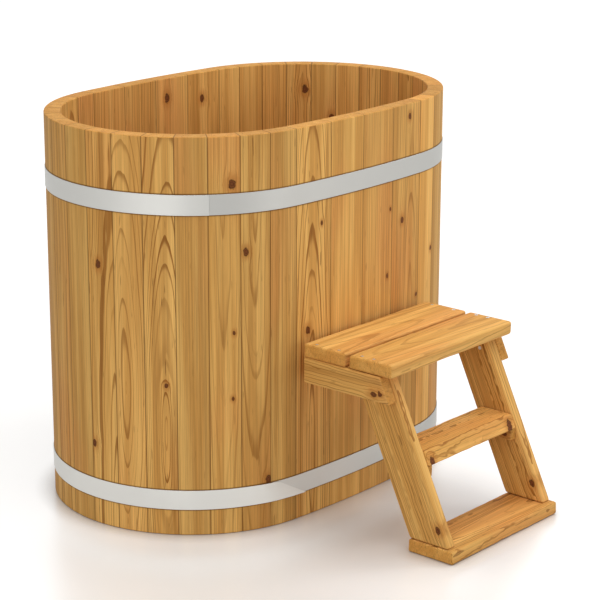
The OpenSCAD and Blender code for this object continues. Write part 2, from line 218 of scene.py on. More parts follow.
# Larch. Its figure is cut from rings round a heart that lies behind each board, so faces, edges and ends
# agree. Heart: place across the board, depth behind its face, and how fast that depth grows along it, in
# metres. Look: brightness added, redness and strength of the figure.
larch = {
    "ring": 0.0078,  # real rings are 2 to 4 mm, drawn at about 8 mm so that they show
    "late": (0.58, 0.92),  # where in a ring the late wood starts and is full
    "stop": (0.94, 1.0),  # and where it stops
    "faintest": 0.42,
    "uneven": 2.6,  # how far the rings are thrown off, in rings: slowly, in small steps, and where curly
    "jitter": 0.34,
    "curl": 1.8,
    "wander": 0.022,  # how far the heart wanders along a board, in metres
    "apart": (137.0, 91.0, 470.0),  # how far apart boards lie in the noises, for each metre of their heart
    "years": (911.0, 48.0),  # the same in the noise of years, and that noise's scale per metre
    "endFade": 0.38,
    "knotLong": 0.68,  # knots are longer along the grain
    "knotRagged": 0.9,
    "knotReach": 2.6,
    "knotFall": 0.36788,  # 1 / e
    "knotSqueeze": 0.8,
    "knotEdge": (0.8, 1.2),
    "knotRings": (11.0, 0.55),
    "bark": (0.95, 0.05, 0.26, 0.9),
    "fibre": (0.25, 0.75, -0.1, 0.1),
    "line": (0.3, 0.7, 0.87, 1.1),
    "crack": (0.6, 0.72, 0.0, 0.42),
    "jointLine": (0.0003, 0.0019, 0.64, 0.0),
    # painted shade at a hoop's edge: full within 1 mm, gone by 4.5 mm, and its strength at each
    "hoopShadeLine": (0.001, 0.0045, 0.75, 0.0),
    "roughness": (0.54, 0.7),
    "lateSmooth": 0.08,
    "lateHeight": 0.6,
    "crackDepth": 1.5,
    "bump": (0.35, 0.0008),
    "pale": "#eab768",
    "deep": "#d29c52",
    "apricot": "#dc9552",
    "latewood": "#90591f",
    "streak": "#a36c2e",
    "fleck": "#5e3411",
    "knot": "#5c3217",
    "knotHeart": "#8f5429",
    "knotRim": "#35190a",
    "halo": "#b06a2a",
    "end": "#cb8e40",
    "joint": "#5a3814",
    # How fine each noise is across, into and along a board, per metre, and its detail
    "noises": {"wander": (6, 6, 2.0, 1), "jitter": (70, 70, 7, 1), "ripple": (160, 160, 110, 1),
               "fibre": (900, 900, 14, 2), "line": (330, 330, 2.4, 1), "band": (34, 34, 1.0, 2),
               "cloud": (7, 7, 2.2, 1), "fleck": (210, 210, 17, 1), "crack": (420, 60, 60, 1),
               "curl": (45, 45, 30, 1)},
}

# What the figure reads of a board, each a named value on the board's mesh
boardMarks = {
    "boardPlace": "Vector", "boardHeart": "Vector", "boardLook": "Vector", "boardHalf": "Float",
    "boardTaper": "Float", "boardEnd": "Float", "boardCurl": "Float",
    "knotOne": "Vector", "knotTwo": "Vector", "knotThree": "Vector",
}
knotNames = ("knotOne", "knotTwo", "knotThree")
noKnots = [(0, 0, 0)] * 3


def larchFigure():
    add, given = newTree("Shader", "larch figure", boardMarks,
                         {"Colour": "Color", "Roughness": "Float", "Height": "Float"})
    place, heart, look = (add("SeparateXYZ", [given[name]]).outputs
                          for name in ("boardPlace", "boardHeart", "boardLook"))

    # Each board reads its own part of the noises
    shift = add("VectorMath", [given["boardHeart"], larch["apart"]], "MULTIPLY")
    own = add("VectorMath", [given["boardPlace"], shift], "ADD")
    read = {}
    for label, (*scale, detail) in larch["noises"].items():
        at = add("VectorMath", [own, scale], "MULTIPLY")
        read[label] = add("TexNoise", [at, 1.0, detail]).outputs
    wander = add("VectorMath", [read["wander"]["Color"], (0.5, 0.5, 0.5)], "SUBTRACT")
    wander = add("VectorMath", [wander, larch["wander"]], "SCALE")
    wander = add("SeparateXYZ", [wander]).outputs

    # The grain flows round each knot
    across, along = place[0], place[2]
    core, halo, nearest = 0.0, 0.0, 1000.0
    for name in knotNames:
        knot = add("SeparateXYZ", [given[name]]).outputs
        size = add("Math", [knot[2], 0.00001], "MAXIMUM")
        aside = add("Math", [across, knot[0]], "SUBTRACT")
        above = add("Math", [along, knot[1]], "SUBTRACT")
        above = add("Math", [above, larch["knotLong"]], "MULTIPLY")
        away = add("CombineXYZ", [aside, above])
        away = add("VectorMath", [away], "LENGTH")
        ratio = add("Math", [away, size], "DIVIDE")
        ratio = add("Math", [read["ripple"][0], larch["knotRagged"], ratio], "MULTIPLY_ADD")
        ratio = add("Math", [ratio, larch["knotRagged"] / 2], "SUBTRACT")
        fade = add("Math", [ratio, larch["knotReach"]], "DIVIDE")
        fade = add("Math", [fade, fade], "MULTIPLY")
        fade = add("Math", [larch["knotFall"], fade], "POWER")
        squeeze = add("Math", [fade, -larch["knotSqueeze"], 1.0], "MULTIPLY_ADD")
        across = add("Math", [aside, squeeze, knot[0]], "MULTIPLY_ADD")
        inside = add("MapRange", [ratio, *larch["knotEdge"], 1.0, 0.0], "SMOOTHSTEP")
        core = add("Math", [core, inside], "MAXIMUM")
        halo = add("Math", [halo, fade], "MAXIMUM")
        nearest = add("Math", [nearest, ratio], "MINIMUM")

    # Distance from the heart gives the ring
    ringX = add("Math", [across, heart[0]], "SUBTRACT")
    ringX = add("Math", [ringX, wander[0]], "ADD")
    ringY = add("Math", [heart[2], along, heart[1]], "MULTIPLY_ADD")
    ringY = add("Math", [place[1], ringY], "SUBTRACT")
    ringY = add("Math", [ringY, wander[1]], "ADD")
    reach = add("CombineXYZ", [ringX, ringY])
    reach = add("VectorMath", [reach], "LENGTH")
    years = add("Math", [reach, larch["ring"]], "DIVIDE")
    apart, scale = larch["years"]
    uneven = add("Math", [reach, scale], "MULTIPLY")
    uneven = add("Math", [heart[0], apart, uneven], "MULTIPLY_ADD")
    uneven = add("TexNoise", [uneven, 1.0, 1.0], "1D")
    curl = add("Math", [read["curl"][0], given["boardCurl"]], "MULTIPLY")
    for name, wave in (("uneven", uneven), ("jitter", read["jitter"][0]), ("curl", curl)):
        years = add("Math", [wave, larch[name], years], "MULTIPLY_ADD")
    season = add("Math", [years], "FRACT")
    year = add("Math", [years], "FLOOR")
    late = add("MapRange", [season, *larch["late"], 0.0, 1.0], "SMOOTHERSTEP")
    stop = add("MapRange", [season, *larch["stop"], 1.0, 0.0], "SMOOTHSTEP")
    harvest = add("TexWhiteNoise", [year], "1D")
    harvest = add("MapRange", [harvest, 0.0, 1.0, larch["faintest"], 1.0])
    endFade = add("Math", [given["boardEnd"], -larch["endFade"], 1.0], "MULTIPLY_ADD")
    for share in (stop, harvest, look[2], endFade):
        late = add("Math", [late, share], "MULTIPLY")

    # Colour: pale wood, bands of darker and redder wood, then the late wood's lines. A layer is what it
    # follows, from where to where, its greatest strength, its colour, and what its strength is scaled by.
    reds = add("SeparateXYZ", [read["band"]["Color"]]).outputs[2]
    layers = (
        (read["band"][0], 0.36, 0.6, 1.0, "deep", None),
        (read["cloud"][0], 0.5, 0.72, 0.48, "apricot", None),
        (look[1], 0.0, 1.0, 0.8, "apricot", None),
        (reds, 0.56, 0.7, 0.55, "streak", look[2]),
        (late, 0.0, 1.0, 0.92, "latewood", None),
        (read["fleck"][0], 0.69, 0.77, 0.55, "fleck", look[2]),
        (halo, 0.15, 1.0, 0.6, "halo", None),
        (given["boardEnd"], 0.0, 1.0, 0.6, "end", None),
    )
    colour = linearColour(larch["pale"])
    for source, low, high, most, tint, share in layers:
        mask = add("MapRange", [source, low, high, 0.0, most], "SMOOTHSTEP")
        if share is not None:
            mask = add("Math", [mask, share], "MULTIPLY")
        colour = add("Mix", [mask, colour, linearColour(larch[tint])], "RGBA")

    # Fibres of a fraction of a millimetre are drawn about 1 mm wide, with finer rings of 3 mm among them
    light = add("MapRange", [read["fibre"][0], *larch["fibre"]])
    lines = add("MapRange", [read["line"][0], *larch["line"]])
    light = add("Math", [light, endFade, lines], "MULTIPLY_ADD")
    light = add("Math", [light, look[0]], "ADD")
    colour = add("VectorMath", [colour, light], "SCALE")

    # End grain has short cracks, and a knot has rings of its own and a dark rim of bark
    crack = add("MapRange", [read["crack"][0], *larch["crack"]], "SMOOTHSTEP")
    crack = add("Math", [crack, given["boardEnd"]], "MULTIPLY")
    every, most = larch["knotRings"]
    ringed = add("Math", [nearest, every], "MULTIPLY")
    ringed = add("Math", [ringed], "SINE")
    ringed = add("MapRange", [ringed, -1.0, 1.0, 0.0, most])
    knotColour = add("Mix", [ringed, linearColour(larch["knot"]), linearColour(larch["knotHeart"])], "RGBA")
    at, low, high, most = larch["bark"]
    rim = add("Math", [nearest, at], "SUBTRACT")
    rim = add("Math", [rim], "ABSOLUTE")
    rim = add("MapRange", [rim, low, high, most, 0.0], "SMOOTHSTEP")
    knotColour = add("Mix", [rim, knotColour, linearColour(larch["knotRim"])], "RGBA")

    # The last two millimetres beside a joint are dark, and a coopered stave is narrower towards the inside
    half = add("Math", [place[1], given["boardTaper"]], "MULTIPLY")
    half = add("Math", [1.0, half], "SUBTRACT")
    half = add("Math", [half, given["boardHalf"]], "MULTIPLY")
    joint = add("Math", [place[0]], "ABSOLUTE")
    joint = add("Math", [half, joint], "SUBTRACT")
    joint = add("MapRange", [joint, *larch["jointLine"]], "SMOOTHSTEP")
    for mask, top in ((crack, linearColour(larch["fleck"])), (core, knotColour),
                      (joint, linearColour(larch["joint"]))):
        colour = add("Mix", [mask, colour, top], "RGBA")

    rough = add("MapRange", [read["fibre"][0], 0.2, 0.8, *larch["roughness"]])
    rough = add("Math", [late, -larch["lateSmooth"], rough], "MULTIPLY_ADD")
    height = add("Math", [late, larch["lateHeight"], read["fibre"][0]], "MULTIPLY_ADD")
    height = add("Math", [crack, -larch["crackDepth"], height], "MULTIPLY_ADD")
    return add("NodeGroupOutput", {"Colour": colour, "Roughness": rough, "Height": height}).id_data


larchTree = larchFigure()


# Oiled larch: a satin surface, its colour deeper in the late wood and round knots
def finishLarch(add, inputs, paintedShade=None):
    figure = add("Group", inputs, node_tree=larchTree)
    colour, rough, height = figure.outputs
    # A painted shade, the hoops' shadow on the staves, turns the colour towards the joints' dark colour
    if paintedShade is not None:
        colour = add("Mix", [paintedShade, colour, linearColour(larch["joint"])], "RGBA")
    strength, distance = larch["bump"]
    bump = add("Bump", {"Strength": strength, "Distance": distance, "Height": height})
    shader = add("BsdfPrincipled", {"Base Color": colour, "Roughness": rough, "Normal": bump,
                                    "IOR": 1.45, "Specular IOR Level": 0.14})
    add("OutputMaterial", [shader])


# Boards carry their own place and look. Under a hoop's edges the staves have a painted line of shade, where
# the strip shades them.
def boardLarch(name, hoopEdges=()):
    material = bpy.data.materials.new(name)
    add = emptyNodes(material)
    read = {}
    for mark, kind in boardMarks.items():
        node = add("Attribute", attribute_name=mark)
        read[mark] = node.outputs["Fac" if kind == "Float" else "Vector"]
    paintedShade = None
    place = add("SeparateXYZ", [read["boardPlace"]]).outputs
    outside = add("Math", [place[1], 0.01], "LESS_THAN")
    # Painted shade: a dark line within a few millimetres of each hoop edge, on the outer face only
    for edge in hoopEdges:
        off = add("Math", [place[2], edge], "SUBTRACT")
        off = add("Math", [off], "ABSOLUTE")
        line = add("MapRange", [off, *larch["hoopShadeLine"]], "SMOOTHSTEP")
        line = add("Math", [line, outside], "MULTIPLY")
        paintedShade = line if paintedShade is None else add("Math", [paintedShade, line], "MAXIMUM")
    finishLarch(add, read, paintedShade)
    return material


# The same wood on a solid that keeps its own mesh, read from the object's place
def solidLarch(name, turn, start, heart, look, half=1.0):
    material = bpy.data.materials.new(name)
    add = emptyNodes(material)
    at = add("TexCoord").outputs["Object"]
    at = add("VectorMath", [at, start], "SUBTRACT")
    at = add("Mapping", {"Vector": at, "Rotation": turn})
    finishLarch(add, {"boardPlace": at, "boardHeart": heart, "boardLook": look, "boardHalf": half})
    return material


print("larch ready")

# Stainless strip, cold rolled and brushed, is pale grey, with fine lines along it and soft reflections.
# Turned stainless has rings round the drain's axis. Lines are per metre. Roughness lies between two values.
steels = {
    "hoop": {"name": "stainless strip, brushed", "colour": "#bdbcb8", "dark": 0.88, "rough": (0.48, 0.62),
             "lines": (4.0, 4.0, 1500.0), "bump": 0.08, "tone": "stripTone"},
    "screw": {"name": "stainless screws", "colour": "#e6e6e3", "dark": 0.88, "rough": (0.24, 0.38),
              "lines": (300.0, 300.0, 300.0), "bump": 0.08},
    "drain": {"name": "stainless, turned", "colour": "#d2d3d2", "dark": 0.85, "rough": (0.2, 0.34),
              "rings": 2500.0, "bump": 0.1},
}


def stainless(kind):
    facts = steels[kind]
    material = bpy.data.materials.new(facts["name"])
    add = emptyNodes(material)
    at = add("TexCoord").outputs["Object"]
    if "rings" in facts:
        at = add("VectorMath", [at, tub["middle"]], "SUBTRACT")
        flat = add("VectorMath", [at, (1, 1, 0)], "MULTIPLY")
        radius = add("VectorMath", [flat], "LENGTH")
        rise = add("SeparateXYZ", [at]).outputs[2]
        cut = add("Math", [radius, rise], "ADD")
        cut = add("Math", [cut, facts["rings"]], "MULTIPLY")
        lines = add("TexNoise", [cut, 1.0, 2.0], "1D")
    else:
        at = add("VectorMath", [at, facts["lines"]], "MULTIPLY")
        lines = add("TexNoise", [at, 1.0, 3.0])
    rough = add("MapRange", [lines, 0.2, 0.8, *facts["rough"]])
    dark, light = linearColour(facts["colour"], facts["dark"]), linearColour(facts["colour"])
    tint = add("Mix", [lines, dark, light], "RGBA")
    # The strip's painted shine scales its colour: painted reflections where it is above 1, painted shade
    # where it is below
    if "tone" in facts:
        tone = add("Attribute", attribute_name=facts["tone"]).outputs["Fac"]
        tint = add("VectorMath", [tint, tone], "SCALE")
    bump = add("Bump", {"Strength": facts["bump"], "Distance": 0.0002, "Height": lines})
    shader = add("BsdfPrincipled", {"Base Color": tint, "Metallic": 1.0, "Roughness": rough, "Normal": bump})
    add("OutputMaterial", [shader])
    return material


hoopSteel, screwSteel, drainSteel = (stainless(kind) for kind in steels)
print("steel ready")

# Hoops: one strip each, which rises over its own start. The painted shine is brightness painted on the steel
# at distances from that start, or back from the outer end: painted reflections where it is above 1, and
# painted shade where it is below 1.
hoops = {
    "height": 0.05,
    "thickness": 0.0015,
    "edgeRound": 0.0005,
    "fit": 0.0001,
    "clear": 0.00005,
    "rise": 0.09,
    "lap": 0.06,
    "spring": 0.0006,
    "springRun": 0.05,
    "slantRun": 0.14,
    "lengths": 420,
    "upper": {"z": 0.837, "end": -0.456, "slant": 0.0,
              "tones": ((0.06, 0.82), (0.35, 0.94), (1.2, 0.86), (-1.0, 0.86), (-0.2, 1.1), (-0.05, 0.93))},
    "lower": {"z": 0.092, "end": -0.258, "slant": 0.09,
              # On the lower hoop the painted shine falls to 0.82 under the steps, a painted shade where the
              # steps shade it
              "tones": ((0.1, 1.32), (0.22, 1.27), (0.36, 1.04), (0.62, 0.82), (0.8, 0.82), (1.3, 1.0),
                        (-0.9, 1.08), (-0.6, 1.3), (-0.48, 1.26), (-0.34, 1.1), (-0.22, 1.25),
                        (-0.1, 1.42), (-0.03, 1.52))},
}

# Staves: two forms, set round the oval. A board is its tone, redness, figure and heart, and a knot is how far
# it lies across its stave, how high, and its radius. Staves that have no board here draw theirs.
staves = {
    "wide": 4,
    "narrow": 14,
    "wideSteps": 6,
    "narrowSteps": 5,
    "gap": 0.00005,
    "rimRound": 0.0024,
    "jointRound": 0.0005,
    "groove": (0.075, 0.1075, 0.0105),
    "toneSpread": 0.035,
    "seed": 7,
    "flatShare": 0.5,
    "knotShare": 0.6,
    "drawn": {"flatAside": (-0.015, 0.015), "flatDeep": (-0.01, 0.03), "flatRise": (0.03, 0.055),
              "riftAside": (0.08, 0.15), "riftDeep": (0.02, 0.04), "riftRise": (-0.02, 0.02),
              "tone": (-0.06, 0.04), "red": (0, 0.4), "figure": (0.4, 0.9),
              "knotAside": (-0.025, 0.025), "knotUp": (0.15, 0.95), "knotRadius": (0.004, 0.009)},
    "boards": {
        27: (-0.06, 0.1, 0.6, (0.1, 0.03, 0.0)),
        28: (-0.08, 0.1, 0.8, (0.085, 0.03, 0.01)),
        29: (-0.1, 0.0, 0.3, (-0.12, 0.03, 0.0)),
        30: (0.02, 0.1, 0.8, (0.034, 0.0, 0.05)),
        31: (0.03, 0.2, 0.7, (-0.012, -0.036, 0.09)),
        32: (0.04, 0.1, 1.0, (0.014, -0.02, 0.085)),
        33: (-0.12, 0.0, 0.4, (0.11, 0.03, 0.0)),
        34: (-0.02, 0.0, 0.5, (-0.004, 0.034, -0.03)),
        35: (-0.07, 0.1, 0.6, (0.0, 0.05, -0.05)),
        36: (-0.12, 0.1, 0.6, (-0.09, 0.03, 0.01)),
        1: (0.0, 0.1, 0.9, (-0.004, -0.012, 0.075)),
        2: (-0.01, 0.0, 0.4, (-0.14, 0.03, 0.0)),
        3: (-0.05, 0.25, 0.5, (0.13, 0.03, 0.0)),
        4: (-0.09, 0.2, 0.6, (0.02, 0.02, 0.03)),
        5: (0.08, 0.1, 0.4, (0.12, 0.03, 0.0)),
        6: (-0.15, 0.1, 0.5, (-0.1, 0.03, 0.0)),
        7: (-0.2, 0.3, 0.5, (-0.1, 0.03, 0.01)),
    },
    "knots": {
        30: [(-0.007, 0.674, 0.0072), (-0.034, 0.21, 0.0068)],
        32: [(0.014, 0.387, 0.0045)],
        34: [(0.019, 0.885, 0.0085), (0.022, 0.517, 0.0036), (0.018, 0.35, 0.0036)],
        35: [(-0.026, 0.717, 0.0066), (0.032, 0.127, 0.0075)],
        1: [(-0.02, 0.489, 0.007), (0.028, 0.753, 0.004)],
        3: [(0.043, 0.565, 0.004), (0.053, 0.739, 0.0032)],
        4: [(-0.016, 0.7, 0.0058), (0.012, 0.967, 0.0056), (0.055, 0.486, 0.0036)],
        5: [(0.031, 0.595, 0.0048)],
        15: [(-0.018, 0.928, 0.0088)],
        19: [(0.005, 0.928, 0.0074)],
        20: [(0.018, 0.946, 0.0084)],
    },
}


# A stave's section from outside to inside, with a groove for the floor
def staveProfile():
    soft, wall, top = staves["rimRound"], tub["wall"], tub["height"]
    low, high, deep = staves["groove"]

    def corner(inwards, up, first):
        turns = [math.radians(first + 30 * step) for step in range(4)]
        return [(inwards + soft * math.cos(turn), up + soft * math.sin(turn)) for turn in turns]

    return [*corner(soft, soft, 180), *corner(wall - soft, soft, 270),
            (wall, low), (wall - deep, low), (wall - deep, high), (wall, high),
            *corner(wall - soft, top - soft, 0), *corner(soft, top - soft, 90)]


# One stave of an arc, with its outer face towards +X and the arc's centre at the origin
def staveForm(name, radius, sweep, steps):
    sweep -= staves["gap"] / radius
    rows = []
    for step in range(steps + 1):
        angle = sweep * (step / steps - 0.5)
        rows.append([((radius - inwards) * math.cos(angle), (radius - inwards) * math.sin(angle), up)
                     for inwards, up in staveProfile()])
    shape, ends = loft(rows)
    roundEdges(shape, [e for face in ends for e in face.edges], staves["jointRound"], 2)
    mesh = shapeToMesh(shape, name)
    markMesh(mesh, "boardPlace", [(v.co.y, radius - v.co.x, v.co.z) for v in mesh.vertices], "FLOAT_VECTOR")
    ends = [float(abs(face.normal.z) > 0.5) for face in mesh.polygons]
    markMesh(mesh, "boardEnd", ends, "FLOAT", "FACE")
    return newPiece(name, mesh)


geometry = {"Geometry": "Geometry"}


def staveTree():
    add, given = newTree("Geometry", "staves round the tub", {
        **geometry, "Wide stave": "Object", "Narrow stave": "Object", "Tone spread": "Float", "Seed": "Int",
        "Wood": "Material"}, geometry)
    least = add("Math", [given["Tone spread"], -1.0], "MULTIPLY")
    luck = add("RandomValue", {2: least, 3: given["Tone spread"], "Seed": given["Seed"]}, "FLOAT")
    luck = add("CombineXYZ", [luck])
    look = add("InputNamedAttribute", ["boardLook"], "FLOAT_VECTOR")
    look = add("VectorMath", [look, luck], "ADD")
    marked = add("StoreNamedAttribute",
                 {"Geometry": given["Geometry"], "Name": "boardLook", "Value": look}, "FLOAT_VECTOR")
    turn = add("InputNamedAttribute", ["turn"], "FLOAT")
    turn = add("CombineXYZ", {2: turn})
    isWide = add("InputNamedAttribute", ["isWide"], "BOOLEAN")
    isNarrow = add("BooleanMath", [isWide], "NOT")
    joined = add("JoinGeometry")
    for chosen, label in ((isWide, "Wide stave"), (isNarrow, "Narrow stave")):
        form = add("ObjectInfo", [given[label]]).outputs["Geometry"]
        placed = add("InstanceOnPoints",
                     {"Points": marked, "Selection": chosen, "Instance": form, "Rotation": turn})
        joined.id_data.links.new(placed.outputs[0], joined.inputs[0])
    return endTree(add, joined, given["Wood"])


def makeStaves():
    luck = random.Random(staves["seed"])

    def draw(name):
        return luck.uniform(*staves["drawn"][name])

    rows = []
    for side, (centre, radius, first, sweep) in enumerate(arcs):
        isWide = side % 2 == 0
        count = staves["wide" if isWide else "narrow"]
        for i in range(count):
            rows.append((centre, radius, first + sweep * (i + 0.5) / count, sweep / count, isWide))
    marks = {name: [] for name in ("boardHeart", "boardLook", *knotNames)}
    for number in range(1, len(rows) + 1):
        # Flat-sawn boards have their heart close behind the face, rift-sawn ones far to one side
        if luck.random() < staves["flatShare"]:
            heart = (draw("flatAside"), draw("flatDeep"), luck.choice((-1, 1)) * draw("flatRise"))
        else:
            heart = (luck.choice((-1, 1)) * draw("riftAside"), draw("riftDeep"), draw("riftRise"))
        drawn = (draw("tone"), draw("red"), draw("figure"), heart)
        *look, heart = staves["boards"].get(number, drawn)
        knots = list(staves["knots"].get(number, ()))
        if not knots and number not in staves["boards"] and luck.random() < staves["knotShare"]:
            knots.append((draw("knotAside"), draw("knotUp"), draw("knotRadius")))
        for name, value in zip(marks, [heart, look, *knots, *noKnots]):
            marks[name].append(value)
    points = newMesh("places of the staves", [(row[0][0], row[0][1] + tubY, 0) for row in rows])
    for name, values in marks.items():
        markMesh(points, name, values, "FLOAT_VECTOR")
    markMesh(points, "turn", [row[2] for row in rows])
    markMesh(points, "isWide", [row[4] for row in rows], "BOOLEAN")
    markMesh(points, "boardHalf", [row[1] * math.sin(row[3] / 2) for row in rows])
    markMesh(points, "boardTaper", [1 / row[1] for row in rows])
    piece = newPiece("tub_staves", points)
    # The staves' wood gets a painted line of shade along each hoop edge
    wood = boardLarch("oiled larch, coopered staves", [
        hoops[kind]["z"] + side * hoops["height"] / 2 for kind in ("upper", "lower") for side in (-1, 1)])
    wideForm = staveForm("wide stave", sideRadius, 2 * sideAngle / staves["wide"], staves["wideSteps"])
    narrowForm = staveForm("narrow stave", endRadius, (math.pi - 2 * sideAngle) / staves["narrow"],
                           staves["narrowSteps"])
    growWith(piece, staveTree(), {
        "Wide stave": wideForm, "Narrow stave": narrowForm, "Tone spread": staves["toneSpread"],
        "Seed": staves["seed"], "Wood": wood})
    for form in (wideForm, narrowForm):
        bpy.data.objects.remove(form)
    evenNormals(piece)
    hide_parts(*("stave_%02d" % (i + 1) for i in range(len(rows))))
    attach(piece, "tub_and_steps")
    print("staves:", len(rows), "with", len(piece.data.polygons), "faces")


def hoopTree():
    add, given = newTree("Geometry", "strip bent to a hoop", {
        **geometry, "Height": "Float", "Thickness": "Float", "Edge round": "Float", "End slant": "Float",
        "Steel": "Material"}, geometry)
    path = add("MeshToCurve", [given["Geometry"]])
    path = add("SetCurveNormal", {"Curve": path}, "Z_UP")
    tangent = add("InputTangent")
    path = add("StoreNamedAttribute", {"Geometry": path, "Name": "heading", "Value": tangent}, "FLOAT_VECTOR")
    section = add("CurvePrimitiveQuadrilateral", {"Width": given["Thickness"], "Height": given["Height"]})
    section = add("FilletCurve", {"Curve": section, "Count": 2, "Radius": given["Edge round"]}, "POLY")
    strip = add("CurveToMesh", {"Curve": path, "Profile Curve": section, "Fill Caps": True})
    # The outer end is cut slanting: its top and bottom are pushed along the strip, opposite ways
    heading = add("InputNamedAttribute", ["heading"], "FLOAT_VECTOR")
    share = add("InputNamedAttribute", ["endShare"], "FLOAT")
    middle = add("InputNamedAttribute", ["middleUp"], "FLOAT")
    up = add("InputPosition")
    up = add("SeparateXYZ", [up]).outputs[2]
    up = add("Math", [middle, up], "SUBTRACT")
    up = add("Math", [up, given["Height"]], "DIVIDE")
    push = add("Math", [up, given["End slant"]], "MULTIPLY")
    push = add("Math", [push, share], "MULTIPLY")
    move = add("VectorMath", [heading, push], "SCALE")
    strip = add("SetPosition", {"Geometry": strip, "Offset": move})
    return endTree(add, strip, given["Steel"])


# How far round the oval a place on the near side lies, from its x
def nearSideAt(x):
    steps = np.linspace(-0.45 * girth / 2, girth / 4, 4000)
    return float(np.interp(x, [ovalPoint(s, 0).x for s in steps], steps))


def makeHoop(node, kind, tree):
    facts = hoops[kind]
    end = nearSideAt(facts["end"])
    start = end - hoops["lap"] - girth
    points, share, tone = [], [], []
    marks = [place if place > 0 else end - start + place for place, bright in facts["tones"]]
    brights = [bright for place, bright in facts["tones"]]
    for spot in np.linspace(start, end, hoops["lengths"]):
        lift = min(1.0, max(0.0, (spot - (end - hoops["lap"] - hoops["rise"])) / hoops["rise"]))
        lift = lift * lift * (3 - 2 * lift) * (hoops["thickness"] + hoops["clear"])
        lift += hoops["spring"] * max(0.0, 1 - (end - spot) / hoops["springRun"]) ** 2
        point = ovalPoint(spot, hoops["fit"] + hoops["thickness"] / 2 + lift)
        points.append((point.x, point.y, facts["z"]))
        share.append(min(1.0, max(0.0, (spot - end + hoops["slantRun"]) / hoops["slantRun"])))
        # The painted shine at this place, between the listed places along the strip
        tone.append(float(np.interp(spot - start, marks, brights)))
    mesh = newMesh(node + " path", points, [(i, i + 1) for i in range(len(points) - 1)])
    markMesh(mesh, "endShare", share)
    markMesh(mesh, "stripTone", tone)
    markMesh(mesh, "middleUp", [facts["z"]] * len(points))
    piece = newPiece(node + "_strip", mesh)
    growWith(piece, tree, {"Height": hoops["height"], "Thickness": hoops["thickness"],
                           "Edge round": hoops["edgeRound"], "End slant": facts["slant"], "Steel": hoopSteel})
    evenNormals(piece, 50)
    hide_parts(node)
    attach(piece, "tub_and_steps")
    print(node, "ready")


makeStaves()
stripTree = hoopTree()
makeHoop("hoop_upper", "upper", stripTree)
makeHoop("hoop_lower", "lower", stripTree)

# Steps: boards with eased edges. Grain runs along x, along y, or along the leaning legs. Looks, hearts and
# knots are as for staves, but from each board's middle.
steps = {
    "lean": math.radians(25.3),
    "cut": 0.016,  # length of the pieces that the worn edges bend in
    "wear": (0.001, 1.1, 1.6),  # depth, its mean and its spread
    "wearNoise": (38, 95, 0.6),  # a coarse and a fine noise per metre, and the fine one's share
    "boards": {
        "platform_board_rear": {
            "grain": "x", "round": 0.006, "look": (0.02, 0.0, 0.6), "curl": 0.15,
            "heart": (0.02, 0.075, 0.055)},
        "platform_board_front": {
            "grain": "x", "round": 0.0075, "look": (0.03, 0.0, 0.55), "curl": 0.15,
            "heart": (-0.015, 0.07, -0.05)},
        "platform_cleat_left": {
            "grain": "y", "round": 0.0045, "leans": "front", "look": (-0.04, 0.0, 0.9), "curl": 0.3,
            "heart": (0.06, 0.035, 0.03), "knots": [(-0.014, -0.086, 0.0066), (-0.011, -0.106, 0.0044)]},
        "platform_cleat_right": {
            "grain": "y", "round": 0.0045, "leans": "front", "look": (-0.04, 0.1, 0.9), "curl": 0.3,
            "heart": (-0.06, 0.04, -0.03)},
        "leg_left": {
            "grain": "leg", "round": 0.005, "leans": "front and back", "look": (-0.02, 0.1, 0.9),
            "curl": 0.5, "heart": (0.068, 0.016, 0.015), "knots": [(0.042, -0.196, 0.007)]},
        "leg_right": {
            "grain": "leg", "round": 0.005, "leans": "front and back", "look": (-0.02, 0.1, 0.9),
            "curl": 0.5, "heart": (-0.068, 0.016, -0.015), "knots": [(-0.04, -0.19, 0.007)]},
        "tread": {
            "grain": "x", "round": 0.005, "leans": "front", "look": (0.11, 0.0, 0.85), "curl": 0.7,
            "heart": (0.072, 0.016, 0.05), "knots": [(0.052, -0.165, 0.0055), (0.05, 0.158, 0.0065)]},
        "tread_block_left": {
            "grain": "y", "round": 0.0035, "look": (-0.08, 0.1, 0.8), "heart": (0.03, 0.04, 0.0)},
        "tread_block_right": {
            "grain": "y", "round": 0.0035, "look": (-0.08, 0.1, 0.8), "heart": (-0.03, 0.04, 0.0),
            "knots": [(0.0, -0.03, 0.006)]},
        "base_board": {
            "grain": "x", "round": 0.0055, "look": (0.0, 0.1, 0.9), "curl": 0.4,
            "heart": (0.012, 0.024, -0.07)},
    },
}

# Wood screws. A bite is how deep the thread holds, and gaps are how far apart a pair stands.
screws = {
    "head": 0.01,
    "headRound": 0.0002,
    "shank": 0.005,
    "sides": 20,
    "sink": 0.0002,
    "bite": 0.024,
    "shortBite": 0.018,
    "railLength": 0.069,
    "gaps": {"rear": 0.07, "front": 0.036, "leg": 0.047, "block": 0.032},
    "formLength": 0.03,
    "recess": (0.0052, 0.0011, 0.0016, 0.8),  # span, half a slot's width, depth and how much it narrows
    "clear": 0.0001,
    "over": 0.001,  # how far a cutting form stands over the face
}


